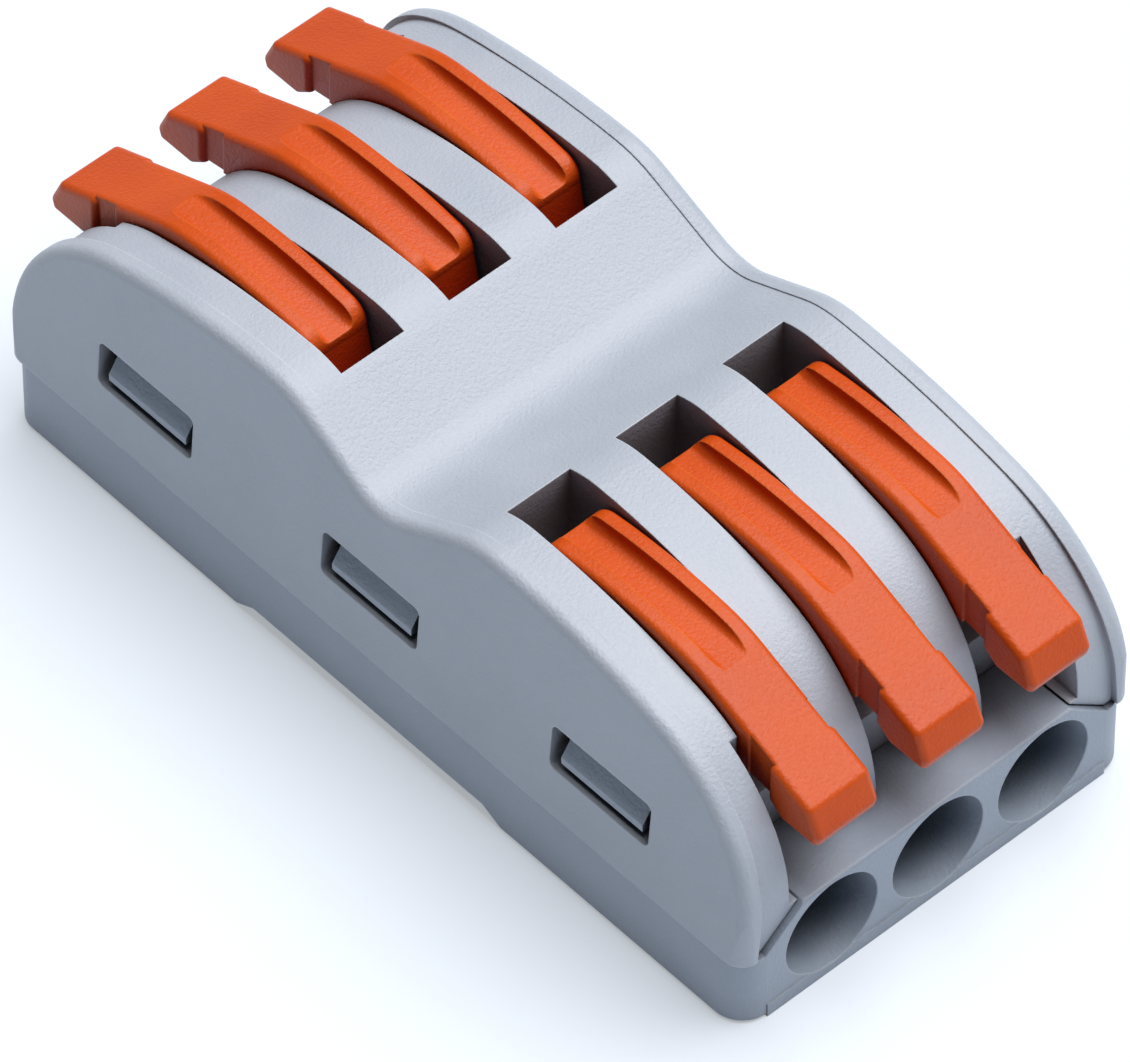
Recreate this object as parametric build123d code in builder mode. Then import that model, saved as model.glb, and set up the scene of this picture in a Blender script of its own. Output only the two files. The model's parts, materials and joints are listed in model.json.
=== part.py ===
"""Inline lever wire connector: three conductors enter one end and leave at the other.

The housing is a base tray with an upper cover snapped over it. Between them lie three
copper busbars, one per pole. At each end of each busbar a cage spring pulls the conductor
up against the copper, and a lever with a cam pushes the spring open.

X runs along the connector, Y across the poles and Z up. The origin is under the middle
of the base. All lengths are in millimetres.
"""
import os
from math import radians, sin

from build123d import *

# Housing
cover_length = 38.4
cover_width = 18.6
cover_corner_radius = 0.8
crown_width = 17.0
base_length = 38.3
base_width = 18.5
base_corner_radius = 1.25
base_rim_height = 3.3
parting_gap = 0.06
ledge_height = 4.8
top_room = 16.0

# Poles
pole_pitch = 5.0
pole_positions = {"left": -pole_pitch, "middle": 0.0, "right": pole_pitch}
ends = {"front": 1, "back": -1}

# Upper outline of the cover, from the valley outwards
valley_height = 10.65
valley_radius = 2.5
valley_slope = 27.0
slope_run = 3.1
crest_radius = 4.0
rim_crown_radius = 32.0
rim_crown_angle = 15.2
rim_nose_radius = 6.88
rib_sink = 0.05
fin_crown_radius = 24.0
fin_crown_angle = 16.5
fin_nose_radius = 6.95
cheek_crown_radius = 31.0
cheek_crown_angle = 15.2
cheek_nose_radius = 6.84
rim_band = 0.8
crown_height = 13.0
crown_edge_radius = 0.45

# Lever slots
slot_width = 2.9
slot_inner_end = 4.25
slot_floor_inner = 13.0
slot_floor_height = 9.1
slot_ramp_end = 15.9
slot_ramp_height = 7.0
pad_room_inner = 15.8
pad_room_side = 0.35

# Hollows inside the cover
cell_width = 4.1
cell_inner_end = 2.9
cell_outer_end = 14.4
cell_ceiling = 8.75
cell_corner = 1.4
web_thickness = 0.9
web_hollow_height = 9.3
fit_gap = 0.05

# Base tray
floor_thickness = 0.7
wire_stop = 6.3
front_wall_inner = 14.95
wall_top_width = 12.6
wall_foot_width = 16.2
channel_block_width = 4.0
foot_chamfer = 0.15
foot_lip_length = 38.38
foot_lip_width = 16.0
foot_lip_height = 0.65
arch_height = 0.6
arch_half_length = 7.2
arch_slope = 1.2
ledge_edge_radius = 0.15

# Wire entries
wire_height = 2.55
wire_bore_radius = 1.25
funnel_radius = 2.15
funnel_waist_radius = 1.95
funnel_waist = 17.1
funnel_inner = 16.0

# Snap latches along both long sides
latch_spacing = 11.8
latch_window_length = 5.0
latch_window_bottom = 5.6
latch_window_height = 2.05
latch_window_corner = 0.3
latch_pocket_length = 5.3
latch_pocket_outer = 8.2
latch_tab_length = 4.1
latch_tab_inner = 7.25
latch_tab_outer = 8.05
latch_tab_top = 7.6
latch_barb_outer = 8.95
latch_barb_bottom = 5.95
latch_barb_face = 0.3

# Busbars
busbar_length = 31.0
busbar_width = 2.4
busbar_thickness = 0.8
busbar_bottom = 4.1
busbar_notch_end = 15.65

# Cage springs
spring_thickness = 0.32
loop_radius = 1.62
loop_centre = 4.9
anchor_width = 2.3
anchor_end = 11.6
flexure_gap = 0.12
cage_width = 3.8
cage_outer_face = 13.1
cage_bend_radius = 2.0
cage_foot = 3.45
cage_window_width = 2.75
cage_window_bottom = 4.05
cage_window_top = 7.6

# Levers
pivot_x = 7.9
pivot_height = 9.85
trunnion_radius = 0.7
trunnion_clearance = 0.06
trunnion_reach = 0.45
hub_radius = 1.64
cam_radius = 2.3
stem_width = 2.72
neck_width = 2.5
neck_inner = 16.3
neck_outer = 17.5
pad_width = 2.9
groove_width = 1.4
groove_corner = 0.3
ridge_edge_radius = 0.28
ridge_edge_floor = 10.4
pad_edge_radius = 0.28

# Side outline of a closed lever, as distance from the middle and height
tail_back = (5.92, 11.5)
tail_top = (6.7, 12.45)
stem_crown = (9.6, 12.66)
crown_end = (12.4, 12.53)
stem_end = (14.2, 12.045)
pad_top_inner = (17.3, 10.724)
pad_brow = (19.35, 9.85)
pad_nose = (19.85, 8.75)
pad_lip = (19.72, 8.25)
pad_under = (18.0, 8.25)
pad_heel = (17.3, 8.8)
stem_tip_top = (18.6, 10.17)
stem_tip_under = (18.2, 8.8)
stem_under_outer = (15.4, 9.3)
stem_under_inner = (12.6, 9.7)
hub_exit = (9.3, 8.9)
hub_flank = (8.65, 8.45)

# Path of the thumb groove's floor
floor_inner = (4.9, 11.72)
floor_crown = (9.5, 12.12)
floor_outer = (14.9, 11.98)

cover_end = cover_length / 2
base_end = base_length / 2
half_slot = slot_width / 2
half_cover = cover_width / 2
cover_bottom = base_rim_height + parting_gap
busbar_top = busbar_bottom + busbar_thickness
loop_height = busbar_top + loop_radius
spring_top = loop_height + loop_radius


def upper_outline(crown_radius, crown_angle, nose_radius, sink):
    """Half of the cover's side outline, mirrored and closed into a face."""
    with BuildSketch() as outline:
        with BuildLine():
            valley = JernArc((0, valley_height - sink), (1, 0), valley_radius, valley_slope)
            slope = Line(valley @ 1, valley @ 1 + slope_run * (valley % 1))
            crest = JernArc(slope @ 1, slope % 1, crest_radius, -valley_slope)
            crown = JernArc(crest @ 1, crest % 1, crown_radius, -crown_angle)
            nose = JernArc(crown @ 1, crown % 1, nose_radius, crown_angle - 90)
            foot = Line(nose @ 1, ((nose @ 1).X, cover_bottom))
            Line(foot @ 1, (0, cover_bottom))
            mirror(about=Plane.YZ)
        make_face()
    return outline.sketch


def leaning_section(inset):
    """Cross-section of the housing with its leaning side walls, drawn in by an inset."""
    with BuildSketch() as section:
        with BuildLine():
            Polyline(
                (inset - half_cover, cover_bottom),
                (half_cover - inset, cover_bottom),
                (crown_width / 2 - inset, crown_height),
                (inset - crown_width / 2, crown_height),
                close=True,
            )
        make_face()
    return section.sketch


def end_wall_section(gap):
    """Cross-section of an end wall with its sloping shoulders, enlarged by a gap."""
    with BuildSketch() as section:
        with BuildLine():
            Polyline(
                (-wall_foot_width / 2 - gap, base_rim_height + gap),
                (wall_foot_width / 2 + gap, base_rim_height + gap),
                (wall_top_width / 2 + gap, ledge_height + gap),
                (-wall_top_width / 2 - gap, ledge_height + gap),
                close=True,
            )
        make_face()
    return section.sketch


# Sunken middle of the cover: fins between the slots and the cheeks beside them
with BuildPart() as rib_body:
    with BuildSketch(Plane.XZ):
        add(upper_outline(cheek_crown_radius, cheek_crown_angle, cheek_nose_radius, rib_sink))
    extrude(amount=half_cover, both=True)
    with BuildSketch(Plane.YZ):
        with Locations((0, top_room / 2)):
            Rectangle(2 * pole_pitch, top_room)
    extrude(amount=cover_end, both=True, mode=Mode.SUBTRACT)
    with BuildSketch(Plane.XZ):
        add(upper_outline(fin_crown_radius, fin_crown_angle, fin_nose_radius, rib_sink))
    extrude(amount=pole_pitch, both=True)
    with BuildSketch(Plane.YZ):
        add(leaning_section(rim_band))
    extrude(amount=cover_end, both=True, mode=Mode.INTERSECT)

# Cover: humped upper housing with six lever slots
with BuildPart() as cover:
    with BuildSketch(Plane.XZ):
        add(upper_outline(rim_crown_radius, rim_crown_angle, rim_nose_radius, 0))
    extrude(amount=half_cover, both=True)
    # Side walls lean in towards the crown, with soft edges and rounded upright corners
    with BuildSketch(Plane.YZ):
        add(leaning_section(0))
    extrude(amount=cover_end, both=True, mode=Mode.INTERSECT)
    side_faces = cover.faces().sort_by(Axis.Y)
    crown_edges = (side_faces[0].edges() + side_faces[-1].edges()).filter_by(
        lambda edge: edge.center().Z > base_rim_height + crown_edge_radius
    )
    fillet(crown_edges, crown_edge_radius)
    with BuildSketch(Plane.XY):
        RectangleRounded(cover_length, cover_width, cover_corner_radius)
    extrude(amount=top_room, mode=Mode.INTERSECT)
    with BuildSketch(Plane.YZ):
        add(leaning_section(rim_band))
    extrude(amount=cover_end, both=True, mode=Mode.SUBTRACT)
    add(rib_body.part)
    # Slots above, spring cells below, and the blind holes the trunnions turn in
    for side in ends.values():
        for pole_y in pole_positions.values():
            with BuildSketch(Plane.XZ.offset(-pole_y)):
                with BuildLine():
                    Polyline(
                        (side * slot_inner_end, cell_ceiling - fit_gap),
                        (side * slot_inner_end, top_room),
                        (side * cover_end, top_room),
                        (side * cover_end, ledge_height),
                        (side * slot_ramp_end, ledge_height),
                        (side * slot_ramp_end, slot_ramp_height),
                        (side * slot_floor_inner, slot_floor_height),
                        (side * slot_floor_inner, cell_ceiling - fit_gap),
                        close=True,
                    )
                make_face()
            extrude(amount=half_slot, both=True, mode=Mode.SUBTRACT)
            with BuildSketch(Plane.XZ.offset(-pole_y)):
                with BuildLine():
                    Polyline(
                        (side * cell_inner_end, 0),
                        (side * cell_inner_end, cell_ceiling),
                        (side * (cell_outer_end - cell_corner), cell_ceiling),
                        (side * cell_outer_end, cell_ceiling - cell_corner),
                        (side * cell_outer_end, 0),
                        close=True,
                    )
                make_face()
            extrude(amount=cell_width / 2, both=True, mode=Mode.SUBTRACT)
            with BuildSketch(Plane.XZ.offset(-pole_y)):
                with Locations((side * pivot_x, pivot_height)):
                    Circle(trunnion_radius + trunnion_clearance)
            hole_reach = half_slot + trunnion_reach + fit_gap
            extrude(amount=hole_reach, both=True, mode=Mode.SUBTRACT)
    # Room for the base blocks and the busbars, and the hollow inside the middle web
    for pole_y in pole_positions.values():
        with BuildSketch(Plane.XY):
            with Locations((0, pole_y)):
                Rectangle(2 * cell_inner_end, cell_width)
        extrude(amount=busbar_bottom + fit_gap, mode=Mode.SUBTRACT)
        with BuildSketch(Plane.XY):
            with Locations((0, pole_y)):
                Rectangle(2 * busbar_notch_end, busbar_width + 2 * fit_gap)
        extrude(amount=busbar_top + fit_gap, mode=Mode.SUBTRACT)
        with BuildSketch(Plane.XY):
            with Locations((0, pole_y)):
                Rectangle(2 * (cell_inner_end - web_thickness), cell_width)
        extrude(amount=web_hollow_height, mode=Mode.SUBTRACT)
    # Room for the base's end walls, and beside the outermost thumb pads
    for side in ends.values():
        with BuildSketch(Plane.YZ.offset(side * (front_wall_inner - fit_gap))):
            add(end_wall_section(fit_gap))
        extrude(amount=side * (cover_end - front_wall_inner + fit_gap), mode=Mode.SUBTRACT)
        with BuildSketch(Plane.XY.offset(ledge_height)):
            with Locations((side * (pad_room_inner + cover_end) / 2, 0)):
                with GridLocations(0, 2 * pole_pitch + slot_width + pad_room_side, 1, 2):
                    Rectangle(cover_end - pad_room_inner, pad_room_side)
        extrude(amount=top_room, mode=Mode.SUBTRACT)
    # Latch pockets and the windows the barbs show through
    for side in (1, -1):
        pocket_inner = pole_pitch + cell_width / 2 - fit_gap
        with BuildSketch(Plane.XY):
            with Locations((0, side * (pocket_inner + latch_pocket_outer) / 2)):
                with GridLocations(latch_spacing, 0, 3, 1):
                    Rectangle(latch_pocket_length, latch_pocket_outer - pocket_inner)
        pocket_top = latch_window_bottom + latch_window_height
        extrude(amount=pocket_top, mode=Mode.SUBTRACT)
        with BuildSketch(Plane.XZ.offset(-side * latch_tab_inner)):
            with Locations((0, latch_window_bottom + latch_window_height / 2)):
                with GridLocations(latch_spacing, 0, 3, 1):
                    RectangleRounded(
                        latch_window_length, latch_window_height, latch_window_corner
                    )
        extrude(amount=-side * half_cover, mode=Mode.SUBTRACT)

# Base: tray with the wire channels, end walls, funnel entries and latches
with BuildPart() as base:
    with BuildSketch(Plane.XY):
        RectangleRounded(base_length, base_width, base_corner_radius)
    extrude(amount=base_rim_height)
    chamfer(base.faces().sort_by(Axis.Z)[0].edges(), foot_chamfer)
    with BuildSketch(Plane.XY):
        Rectangle(foot_lip_length, foot_lip_width)
    extrude(amount=foot_lip_height)
    with BuildSketch(Plane.XZ):
        with BuildLine():
            Polyline(
                (-arch_half_length, 0),
                (-arch_half_length + arch_slope, arch_height),
                (arch_half_length - arch_slope, arch_height),
                (arch_half_length, 0),
                close=True,
            )
        make_face()
    extrude(amount=base_width, both=True, mode=Mode.SUBTRACT)
    # End walls with the ledge under the lever pads
    for side in ends.values():
        with BuildSketch(Plane.YZ.offset(side * front_wall_inner)):
            add(end_wall_section(0))
        extrude(amount=side * (base_end - front_wall_inner))
    ledge_edges = base.edges().filter_by(Axis.Y).group_by(Axis.Z)[-1]
    fillet(ledge_edges.group_by(Axis.X)[0] + ledge_edges.group_by(Axis.X)[-1], ledge_edge_radius)
    for pole_y in pole_positions.values():
        # Block that carries the busbar and stops the wires
        with BuildSketch(Plane.XY.offset(base_rim_height)):
            with Locations((0, pole_y)):
                Rectangle(2 * wire_stop, channel_block_width)
        extrude(amount=busbar_bottom - base_rim_height)
        for side in ends.values():
            channel_length = front_wall_inner - wire_stop
            with BuildSketch(Plane.XY.offset(floor_thickness)):
                with Locations((side * (wire_stop + channel_length / 2), pole_y)):
                    Rectangle(channel_length, cell_width)
            extrude(amount=ledge_height, mode=Mode.SUBTRACT)
            # Shelf that holds the end of the busbar
            with BuildSketch(Plane.XY.offset(busbar_bottom)):
                with Locations((side * busbar_notch_end / 2, pole_y)):
                    Rectangle(busbar_notch_end, busbar_width + 2 * fit_gap)
            extrude(amount=ledge_height, mode=Mode.SUBTRACT)
            # Funnel entry narrowing to a round bore
            with BuildSketch(Plane.XZ.offset(-pole_y)):
                with BuildLine():
                    Polyline(
                        (side * wire_stop, wire_height),
                        (side * wire_stop, wire_height + wire_bore_radius),
                        (side * funnel_inner, wire_height + wire_bore_radius),
                        (side * funnel_waist, wire_height + funnel_waist_radius),
                        (side * foot_lip_length / 2, wire_height + funnel_radius),
                        (side * foot_lip_length / 2, wire_height),
                        close=True,
                    )
                make_face()
            wire_axis = Axis((0, pole_y, wire_height), (1, 0, 0))
            revolve(axis=wire_axis, mode=Mode.SUBTRACT)
    # Latch tabs with barbs
    for side in (1, -1):
        with BuildSketch(Plane.XY.offset(base_rim_height)):
            with Locations((0, side * (latch_tab_inner + latch_tab_outer) / 2)):
                with GridLocations(latch_spacing, 0, 3, 1):
                    Rectangle(latch_tab_length, latch_tab_outer - latch_tab_inner)
        extrude(amount=latch_tab_top - base_rim_height)
        for latch_x in (-latch_spacing, 0, latch_spacing):
            with BuildSketch(Plane.YZ.offset(latch_x)):
                with BuildLine():
                    Polyline(
                        (side * latch_tab_outer, latch_barb_bottom),
                        (side * latch_barb_outer, latch_barb_bottom),
                        (side * latch_barb_outer, latch_barb_bottom + latch_barb_face),
                        (side * latch_tab_outer, latch_tab_top),
                        close=True,
                    )
                make_face()
            extrude(amount=latch_tab_length / 2, both=True)


def at_end(side, spot):
    """A point of the front end's side outline, carried over to either end."""
    return (side * spot[0], spot[1])


def save(piece, name):
    """Label a finished piece and write it as its own file."""
    piece.part.label = name
    export_step(piece.part, "parts/" + name + ".step")


os.makedirs("parts", exist_ok=True)
save(cover, "cover")
save(base, "base")

for pole_name, pole_y in pole_positions.items():
    # Busbar: plain strip of tinned copper
    with BuildPart() as busbar:
        with BuildSketch(Plane.XY.offset(busbar_bottom)):
            with Locations((0, pole_y)):
                Rectangle(busbar_length, busbar_width)
        extrude(amount=busbar_thickness)
        fillet(busbar.edges().filter_by(Axis.Z), spring_thickness)
    save(busbar, "busbar_" + pole_name)

    for end_name, side in ends.items():
        # Spring anchor leg: lies on the busbar and curls up into the loop
        with BuildPart() as anchor_leg:
            inner_radius = loop_radius - spring_thickness
            with BuildSketch(Plane.XZ.offset(-pole_y)):
                with BuildLine():
                    foot = Line(
                        (side * loop_centre, busbar_top),
                        (side * anchor_end, busbar_top),
                    )
                    tip = Line(foot @ 1, (side * anchor_end, busbar_top + spring_thickness))
                    back = Line(tip @ 1, (side * loop_centre, busbar_top + spring_thickness))
                    inner = ThreePointArc(
                        back @ 1,
                        (side * (loop_centre - inner_radius), loop_height),
                        (side * (loop_centre - flexure_gap), spring_top - spring_thickness),
                    )
                    top = Line(inner @ 1, (side * (loop_centre - flexure_gap), spring_top))
                    ThreePointArc(
                        top @ 1,
                        (side * (loop_centre - loop_radius), loop_height),
                        foot @ 0,
                    )
                make_face()
            extrude(amount=anchor_width / 2, both=True)
        save(anchor_leg, "spring_anchor_" + end_name + "_" + pole_name)

        # Spring cage leg: runs back over the busbar and down around it with a window
        with BuildPart() as cage_leg:
            bend_x = cage_outer_face - cage_bend_radius
            bend_z = spring_top - cage_bend_radius
            inner_face = cage_outer_face - spring_thickness
            inner_bend = cage_bend_radius - spring_thickness
            with BuildSketch(Plane.XZ.offset(-pole_y)):
                with BuildLine():
                    upper = Line((side * loop_centre, spring_top), (side * bend_x, spring_top))
                    outer_bend = RadiusArc(
                        upper @ 1, (side * cage_outer_face, bend_z), side * cage_bend_radius
                    )
                    outer_leg = Line(outer_bend @ 1, (side * cage_outer_face, cage_foot))
                    toe = Line(outer_leg @ 1, (side * inner_face, cage_foot))
                    inner_leg = Line(toe @ 1, (side * inner_face, bend_z))
                    under_bend = RadiusArc(
                        inner_leg @ 1,
                        (side * bend_x, spring_top - spring_thickness),
                        -side * inner_bend,
                    )
                    under = Line(
                        under_bend @ 1, (side * loop_centre, spring_top - spring_thickness)
                    )
                    Line(under @ 1, upper @ 0)
                make_face()
            extrude(amount=cage_width / 2, both=True)
            with BuildSketch(Plane.YZ.offset(side * bend_x)):
                with Locations((pole_y, (cage_window_bottom + cage_window_top) / 2)):
                    Rectangle(cage_window_width, cage_window_top - cage_window_bottom)
            extrude(amount=side * cage_bend_radius, mode=Mode.SUBTRACT)
        save(cage_leg, "spring_cage_" + end_name + "_" + pole_name)

        # Thumb pad: the block at the lever's free end, a little wider than the stem
        with BuildPart() as pad:
            pad_corners = (pad_top_inner, pad_brow, pad_nose, pad_lip, pad_under, pad_heel)
            with BuildSketch(Plane.XZ.offset(-pole_y)):
                with BuildLine():
                    Polyline(*[at_end(side, spot) for spot in pad_corners], close=True)
                make_face()
            extrude(amount=pad_width / 2, both=True)
            fillet(pad.edges(), pad_edge_radius)

        # Lever: hub with cam and trunnions, grooved stem and the thumb pad
        with BuildPart() as lever:
            hub_bottom = at_end(side, (pivot_x, pivot_height - hub_radius))
            cam_tip = at_end(side, (pivot_x - cam_radius, pivot_height))
            flank_reach = (hub_radius + cam_radius) / 2 * sin(radians(45))
            cam_flank = at_end(side, (pivot_x - flank_reach, pivot_height - flank_reach))
            stem_corners = (
                stem_end,
                pad_top_inner,
                stem_tip_top,
                stem_tip_under,
                stem_under_outer,
                stem_under_inner,
                hub_exit,
            )
            with BuildSketch(Plane.XZ.offset(-pole_y)):
                with BuildLine():
                    ThreePointArc(hub_bottom, cam_flank, cam_tip)
                    Line(cam_tip, at_end(side, tail_back))
                    crown = ThreePointArc(
                        *[at_end(side, spot) for spot in (tail_top, stem_crown, crown_end)]
                    )
                    TangentArc(crown @ 0, at_end(side, tail_back), tangent=(crown % 0) * -1)
                    TangentArc(crown @ 1, at_end(side, stem_end), tangent=crown % 1)
                    Polyline(*[at_end(side, spot) for spot in stem_corners])
                    ThreePointArc(at_end(side, hub_exit), at_end(side, hub_flank), hub_bottom)
                make_face()
            extrude(amount=stem_width / 2, both=True)
            ridge_tops = lever.edges().filter_by(Axis.Y, reverse=True).filter_by(
                lambda edge: edge.center().Z > ridge_edge_floor
            )
            fillet(ridge_tops, ridge_edge_radius)
            with BuildSketch(Plane.XZ.offset(-pole_y)):
                with Locations(at_end(side, (pivot_x, pivot_height))):
                    Circle(trunnion_radius)
            extrude(amount=half_slot + trunnion_reach, both=True)
            with BuildLine(Plane.XZ.offset(-pole_y)) as groove_path:
                ThreePointArc(
                    *[
                        at_end(side, (floor_x, floor_z + groove_width / 2))
                        for floor_x, floor_z in (floor_inner, floor_crown, floor_outer)
                    ]
                )
            with BuildSketch(groove_path.line ^ 0):
                RectangleRounded(groove_width, groove_width, groove_corner)
            sweep(mode=Mode.SUBTRACT)
            # Neck between the stem and the pad
            notch_width = (stem_width - neck_width) / 2
            with BuildSketch(Plane.XY):
                with Locations((side * (neck_inner + neck_outer) / 2, pole_y)):
                    with GridLocations(0, neck_width + notch_width, 1, 2):
                        Rectangle(neck_outer - neck_inner, notch_width)
            extrude(amount=top_room, mode=Mode.SUBTRACT)
            add(pad.part)
        save(lever, "lever_" + end_name + "_" + pole_name)
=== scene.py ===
"""Looks for the inline lever wire connector: camera, light, floor and procedural materials."""

import json
import math

import bpy
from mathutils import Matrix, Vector

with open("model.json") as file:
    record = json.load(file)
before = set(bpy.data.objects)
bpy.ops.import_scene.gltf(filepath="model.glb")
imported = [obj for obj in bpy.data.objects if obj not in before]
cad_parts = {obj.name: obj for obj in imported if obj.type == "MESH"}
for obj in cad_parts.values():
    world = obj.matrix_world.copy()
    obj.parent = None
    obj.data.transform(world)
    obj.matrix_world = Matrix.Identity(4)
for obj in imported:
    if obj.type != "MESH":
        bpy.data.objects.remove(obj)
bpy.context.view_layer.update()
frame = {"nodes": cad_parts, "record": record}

MM = 0.001

# Camera: azimuth and elevation in degrees, the rest in millimetres
CAMERA_AZIMUTH = 47.672
CAMERA_ELEVATION = 49.415
CAMERA_DISTANCE = 422.8
CAMERA_TARGET = Vector((1.506, -1.267, 5.0))
LENS = 386.3
SENSOR = 36.0
CLIP_START = 0.01
CLIP_END = 100.0

# Light: a broad soft key overhead, a dim cool surround and a faintly glowing floor
SUN_DIRECTION = Vector((0.06, 0.34, 1.0))
SUN_COLOUR = (1.0, 0.985, 0.97)
SUN_STRENGTH = 4.5
SUN_ANGLE = 60.0
WORLD_COLOUR = (0.70, 0.84, 1.0, 1.0)
WORLD_STRENGTH = 0.05
FLOOR_HALF_WIDTH = 3.0
FLOOR_COLOURS = ((0.44, 0.48, 0.54), (0.46, 0.50, 0.56))
FLOOR_CLOUD_SIZE = 60.0
FLOOR_ROUGHNESS = 0.9
FLOOR_SHEEN = 0.1
FLOOR_GLOW_COLOUR = (0.90, 0.95, 1.0, 1.0)
FLOOR_GLOW = 0.42

# Middle part of a noise's range, where nearly all of its values lie
NOISE_LOW = 0.3
NOISE_HIGH = 0.7

# Moulded plastic: sizes and depths in millimetres
PLASTIC_IOR = 1.5
PLASTIC_EDGE_RADIUS = 0.10
LEVER_EDGE_RADIUS = 0.12
CLOUD_SIZE = 3.5
GRAIN_SIZE = 0.14
GRAIN_ROUGHNESS = 0.6
GRAIN_DEPTH = 0.028
FLOW_SIZE = 1.6
FLOW_STRETCH = (0.35, 1, 1)
FLOW_DEPTH = 0.012
# Edge lightening, partly rubbed plastic and partly a painted highlight: the cloud values it follows and
# the strength it reaches
WEAR_AND_HIGHLIGHT_CLOUD = (0.35, 0.7)
WEAR_AND_HIGHLIGHT_RANGE = (0.35, 0.9)
PATCH_ROUGHNESS = 0.05
SPECKLE_RANGE = (-0.04, 0.05)

# Rolled metal: sizes and depths in millimetres
STREAK_SIZE = 0.06
STREAK_STRETCH = (0.08, 1, 0.08)
STREAK_DEPTH = 0.003
METAL_CLOUD_SIZE = 1.2
METAL_EDGE_GAIN = 1.25
METAL_ROUGHNESS = (-0.06, 0.1)
SPRING_EDGE_RADIUS = 0.04
BUSBAR_EDGE_RADIUS = 0.06

# Edge mask: how far the rounded normal turns from the flat one, as a cosine
EDGE_START = 0.99
EDGE_FULL = 0.80
EDGE_SAMPLES = 6

# Painted shade: how far, in millimetres, a surface looks for walls, and the openness at which the
# painted darkening starts and ends
PAINTED_SHADE_REACH = 4.0
PAINTED_SHADE_START = 0.58
PAINTED_SHADE_FULL = 0.20
PAINTED_SHADE_SAMPLES = 8


def make_camera():
    """Camera at the photograph's viewing angle."""
    azimuth = math.radians(CAMERA_AZIMUTH)
    elevation = math.radians(CAMERA_ELEVATION)
    back = Vector((
        math.sin(azimuth) * math.cos(elevation),
        -math.cos(azimuth) * math.cos(elevation),
        math.sin(elevation),
    ))
    data = bpy.data.cameras.new("camera")
    data.lens = LENS
    data.sensor_width = SENSOR
    data.clip_start = CLIP_START
    data.clip_end = CLIP_END
    camera = bpy.data.objects.new("camera", data)
    camera.location = (CAMERA_TARGET + back * CAMERA_DISTANCE) * MM
    camera.rotation_euler = back.to_track_quat("Z", "Y").to_euler()
    bpy.context.scene.collection.objects.link(camera)
    bpy.context.scene.camera = camera


def make_light():
    """One broad soft key from above and a little behind, and a dim cool surround."""
    data = bpy.data.lights.new("key", "SUN")
    data.color = SUN_COLOUR
    data.energy = SUN_STRENGTH
    data.angle = math.radians(SUN_ANGLE)
    key = bpy.data.objects.new("key", data)
    key.rotation_euler = SUN_DIRECTION.to_track_quat("Z", "Y").to_euler()
    bpy.context.scene.collection.objects.link(key)
    world = bpy.data.worlds.new("surround")
    world.use_nodes = True
    background = world.node_tree.nodes["Background"]
    background.inputs["Color"].default_value = WORLD_COLOUR
    background.inputs["Strength"].default_value = WORLD_STRENGTH
    bpy.context.scene.world = world


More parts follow.
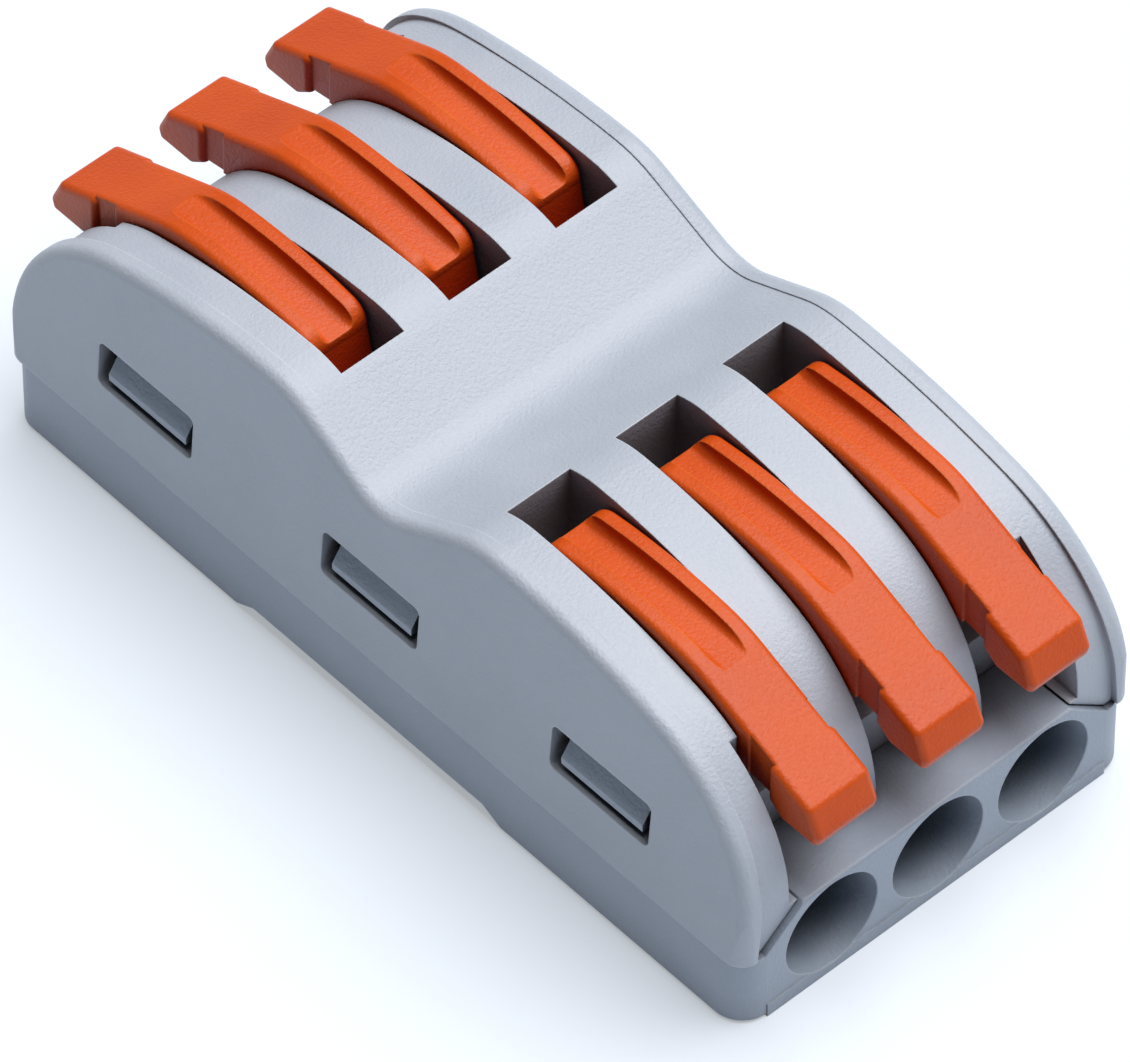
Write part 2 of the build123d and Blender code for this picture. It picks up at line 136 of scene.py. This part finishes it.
class Shader:
    """A Principled material whose inputs are wired up from small node helpers."""

    def __init__(self, name):
        self.material = bpy.data.materials.new(name)
        self.material.use_nodes = True
        self.tree = self.material.node_tree
        self.surface = self.tree.nodes["Principled BSDF"]
        self.place = self.node("ShaderNodeTexCoord").outputs["Object"]

    def node(self, kind, **settings):
        made = self.tree.nodes.new(kind)
        for key, value in settings.items():
            setattr(made, key, value)
        return made

    def link(self, source, target):
        self.tree.links.new(source, target)

    def noise(self, size_mm, detail=2.0, roughness=0.5, stretch=(1, 1, 1)):
        """Noise whose features are about size_mm across."""
        mapping = self.node("ShaderNodeMapping")
        mapping.inputs["Scale"].default_value = stretch
        self.link(self.place, mapping.inputs["Vector"])
        noise = self.node("ShaderNodeTexNoise")
        noise.inputs["Scale"].default_value = 1 / (size_mm * MM)
        noise.inputs["Detail"].default_value = detail
        noise.inputs["Roughness"].default_value = roughness
        self.link(mapping.outputs["Vector"], noise.inputs["Vector"])
        return noise.outputs["Fac"]

    def span(self, source, from_low, from_high, to_low, to_high):
        """source rescaled from one range to another, held inside it."""
        rescale = self.node("ShaderNodeMapRange")
        self.link(source, rescale.inputs["Value"])
        rescale.inputs["From Min"].default_value = from_low
        rescale.inputs["From Max"].default_value = from_high
        rescale.inputs["To Min"].default_value = to_low
        rescale.inputs["To Max"].default_value = to_high
        return rescale.outputs["Result"]

    def ramp(self, source, low, high):
        """Colour between low and high, by a noise."""
        ramp = self.node("ShaderNodeValToRGB")
        start, end = ramp.color_ramp.elements
        start.position = NOISE_LOW
        start.color = (*low, 1)
        end.position = NOISE_HIGH
        end.color = (*high, 1)
        self.link(source, ramp.inputs["Fac"])
        return ramp.outputs["Color"]

    def mix(self, factor, first, second):
        """The colour first where factor is 0, and the colour second where it is 1."""
        mix = self.node("ShaderNodeMix", data_type="RGBA")
        self.link(factor, mix.inputs["Factor"])
        self.link(first, mix.inputs["A"])
        mix.inputs["B"].default_value = (*second, 1)
        return mix.outputs["Result"]

    def combine(self, operation, first, second):
        """Two values added or multiplied."""
        made = self.node("ShaderNodeMath", operation=operation)
        self.link(first, made.inputs[0])
        self.link(second, made.inputs[1])
        return made.outputs[0]

    def soft_edges(self, radius_mm):
        """Normal rounded over edges, and a mask that is 1 on the edges."""
        bevel = self.node("ShaderNodeBevel", samples=EDGE_SAMPLES)
        bevel.inputs["Radius"].default_value = radius_mm * MM
        true = self.node("ShaderNodeNewGeometry")
        dot = self.node("ShaderNodeVectorMath", operation="DOT_PRODUCT")
        self.link(bevel.outputs["Normal"], dot.inputs[0])
        self.link(true.outputs["Normal"], dot.inputs[1])
        edge = self.span(dot.outputs["Value"], EDGE_START, EDGE_FULL, 0.0, 1.0)
        return bevel.outputs["Normal"], edge

    def painted_shade(self):
        """Painted shade: mask that is 0 out in the open and rises to 1 inside slots, holes and gaps,
        where it darkens the colour as shade would.
        """
        cavity = self.node("ShaderNodeAmbientOcclusion", samples=PAINTED_SHADE_SAMPLES)
        cavity.inputs["Distance"].default_value = PAINTED_SHADE_REACH * MM
        return self.span(cavity.outputs["AO"], PAINTED_SHADE_START, PAINTED_SHADE_FULL, 0.0, 1.0)

    def bump(self, height, depth_mm, normal):
        """Bump of a given depth over the normal passed in."""
        bump = self.node("ShaderNodeBump")
        bump.inputs["Distance"].default_value = depth_mm * MM
        self.link(height, bump.inputs["Height"])
        self.link(normal, bump.inputs["Normal"])
        return bump.outputs["Normal"]


def moulded_plastic(name, low, high, worn_and_highlight, painted_shade_colour, roughness, edge_radius, sheen):
    """Satin moulded plastic: cloudy tint, spark-eroded grain, soft edges lightened as rubbed plastic and
    as a painted highlight, and painted shade in the recesses.
    """
    shader = Shader(name)
    cloud = shader.noise(CLOUD_SIZE, detail=3.0)
    grain = shader.noise(GRAIN_SIZE, roughness=GRAIN_ROUGHNESS)
    flow = shader.noise(FLOW_SIZE, detail=1.0, stretch=FLOW_STRETCH)
    rounded, edge = shader.soft_edges(edge_radius)
    # Lighter edges: partly rubbed plastic, partly a painted highlight
    wear_and_highlight = shader.combine("MULTIPLY", edge, shader.span(cloud, *WEAR_AND_HIGHLIGHT_CLOUD, *WEAR_AND_HIGHLIGHT_RANGE))
    tint = shader.mix(wear_and_highlight, shader.ramp(cloud, low, high), worn_and_highlight)
    # Painted shade: slots, holes and gaps mixed towards a dark colour
    shader.link(shader.mix(shader.painted_shade(), tint, painted_shade_colour), shader.surface.inputs["Base Color"])
    smoothest = roughness - PATCH_ROUGHNESS
    roughest = roughness + PATCH_ROUGHNESS
    patchy = shader.span(cloud, NOISE_LOW, NOISE_HIGH, smoothest, roughest)
    speckle = shader.span(grain, NOISE_LOW, NOISE_HIGH, *SPECKLE_RANGE)
    shader.link(shader.combine("ADD", patchy, speckle), shader.surface.inputs["Roughness"])
    wavy = shader.bump(flow, FLOW_DEPTH, rounded)
    shader.link(shader.bump(grain, GRAIN_DEPTH, wavy), shader.surface.inputs["Normal"])
    shader.surface.inputs["IOR"].default_value = PLASTIC_IOR
    shader.surface.inputs["Specular IOR Level"].default_value = sheen
    return shader.material


def rolled_metal(name, low, high, roughness, edge_radius):
    """Rolled strip: fine streaks along its length, sheared edges a little brighter."""
    shader = Shader(name)
    streaks = shader.noise(STREAK_SIZE, detail=3.0, stretch=STREAK_STRETCH)
    cloud = shader.noise(METAL_CLOUD_SIZE)
    rounded, edge = shader.soft_edges(edge_radius)
    tint = shader.ramp(cloud, low, high)
    bright = tuple(value * METAL_EDGE_GAIN for value in high)
    shader.link(shader.mix(edge, tint, bright), shader.surface.inputs["Base Color"])
    smoothest, roughest = (roughness + change for change in METAL_ROUGHNESS)
    rough = shader.span(streaks, NOISE_LOW, NOISE_HIGH, smoothest, roughest)
    shader.link(rough, shader.surface.inputs["Roughness"])
    shader.link(shader.bump(streaks, STREAK_DEPTH, rounded), shader.surface.inputs["Normal"])
    shader.surface.inputs["Metallic"].default_value = 1.0
    return shader.material


def make_floor():
    """Plain pale floor like a dim light table, large enough for every view."""
    half = FLOOR_HALF_WIDTH
    mesh = bpy.data.meshes.new("floor")
    corners = [(-half, -half, 0), (half, -half, 0), (half, half, 0), (-half, half, 0)]
    mesh.from_pydata(corners, [], [(0, 1, 2, 3)])
    floor = bpy.data.objects.new("floor", mesh)
    bpy.context.scene.collection.objects.link(floor)
    shader = Shader("floor_paper")
    tint = shader.ramp(shader.noise(FLOOR_CLOUD_SIZE), *FLOOR_COLOURS)
    shader.link(tint, shader.surface.inputs["Base Color"])
    shader.surface.inputs["Emission Color"].default_value = FLOOR_GLOW_COLOUR
    shader.surface.inputs["Emission Strength"].default_value = FLOOR_GLOW
    shader.surface.inputs["Roughness"].default_value = FLOOR_ROUGHNESS
    shader.surface.inputs["Specular IOR Level"].default_value = FLOOR_SHEEN
    mesh.materials.append(shader.material)


make_camera()
make_light()
bpy.context.scene.view_settings.view_transform = "Standard"

# One finish for each material slot in the record
# In each finish the lighter edge colour is partly rubbed plastic and partly a painted highlight, and the
# dark colour is painted shade in slots, holes and gaps
finishes = {
    "cover_grey": moulded_plastic(
        "cover_grey",
        low=(0.37, 0.41, 0.48),
        high=(0.41, 0.45, 0.52),
        worn_and_highlight=(0.66, 0.70, 0.77),
        painted_shade_colour=(0.13, 0.12, 0.13),
        roughness=0.44,
        edge_radius=PLASTIC_EDGE_RADIUS,
        sheen=0.5,
    ),
    # The base's colours are darker than the cover's to paint shade on the lower part, and its near-black
    # colour for slots and holes paints shade in the wire holes
    "base_grey": moulded_plastic(
        "base_grey",
        low=(0.29, 0.34, 0.42),
        high=(0.33, 0.38, 0.46),
        worn_and_highlight=(0.64, 0.69, 0.77),
        painted_shade_colour=(0.008, 0.010, 0.013),
        roughness=0.44,
        edge_radius=PLASTIC_EDGE_RADIUS,
        sheen=0.5,
    ),
    "lever_orange": moulded_plastic(
        "lever_orange",
        low=(0.51, 0.060, 0.003),
        high=(0.58, 0.080, 0.006),
        worn_and_highlight=(0.80, 0.20, 0.03),
        painted_shade_colour=(0.36, 0.018, 0.001),
        roughness=0.42,
        edge_radius=LEVER_EDGE_RADIUS,
        sheen=0.3,
    ),
    "spring_steel": rolled_metal(
        "spring_steel",
        low=(0.50, 0.50, 0.52),
        high=(0.62, 0.62, 0.64),
        roughness=0.3,
        edge_radius=SPRING_EDGE_RADIUS,
    ),
    "tinned_copper": rolled_metal(
        "tinned_copper",
        low=(0.62, 0.61, 0.58),
        high=(0.74, 0.72, 0.68),
        roughness=0.32,
        edge_radius=BUSBAR_EDGE_RADIUS,
    ),
}
for part in frame["record"]["subparts"]:
    node = frame["nodes"][part["node"]]
    node.data.materials.clear()
    node.data.materials.append(finishes[part["material_slot"]])

make_floor()
